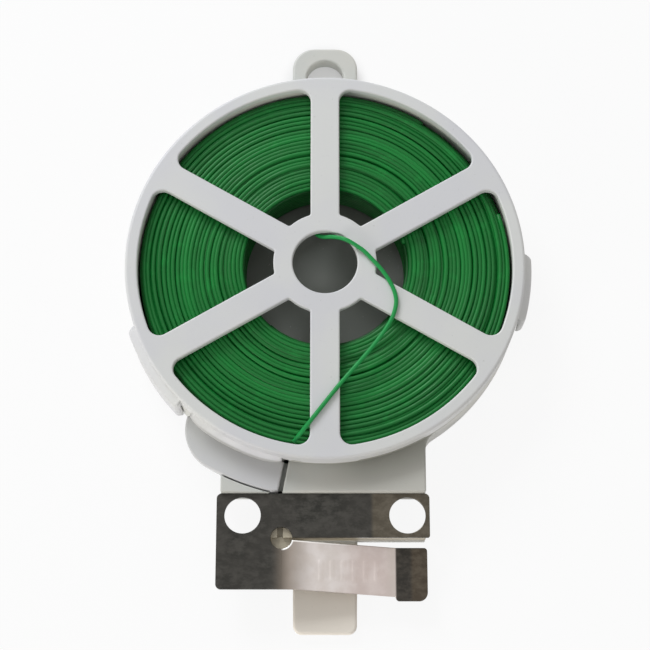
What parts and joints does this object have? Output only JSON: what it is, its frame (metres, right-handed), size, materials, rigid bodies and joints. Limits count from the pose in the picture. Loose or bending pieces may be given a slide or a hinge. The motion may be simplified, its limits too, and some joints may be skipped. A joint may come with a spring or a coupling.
{
  "type": "wire spool",
  "caption": "Flat round drum of coated tie wire with a windowed clip cover, a hang tab, and a press-to-cut steel plate on its neck.",
  "frame": {"origin": "centre of the drum on its flat back face", "axes": "+Z along the hub axis out of the windowed cover, +Y towards the hang tab, +X towards the open end of the cutter slit"},
  "size_m": [0.0978, 0.1482, 0.0175],
  "materials": {
    "case_plastic": "semi-matt off-white moulding",
    "cover_plastic": "semi-matt white moulding",
    "cutter_steel": "worn bright sheet steel",
    "flap_steel": "worn bright sheet steel",
    "coil_coating": "glossy green coating on wire"
  },
  "bodies": {
    "case": {"rear_case": "case_plastic", "cutter_plate": "cutter_steel"},
    "cover": {"front_cover": "cover_plastic", "wire_tail": "coil_coating"},
    "flap": {"cutter_flap": "flap_steel"},
    "coil": {"coil_core": "coil_coating", "coil_winding": "coil_coating"}
  },
  "joints": [
    {"name": "flap_press", "type": "hinge", "parent": "case", "child": "flap", "pos_m": [-0.00725, -0.0714, 0.0086], "axis": [0, 1, 0], "range_deg": [0, 6], "stiffness_Nm_per_rad": 2},
    {"name": "cover_lift", "type": "slide", "parent": "case", "child": "cover", "axis": [0, 0, 1], "range_m": [0, 0.03]},
    {"name": "coil_turn", "type": "hinge", "parent": "case", "child": "coil", "pos_m": [0, 0, 0.008], "axis": [0, 0, 1], "continuous": true}
  ]
}
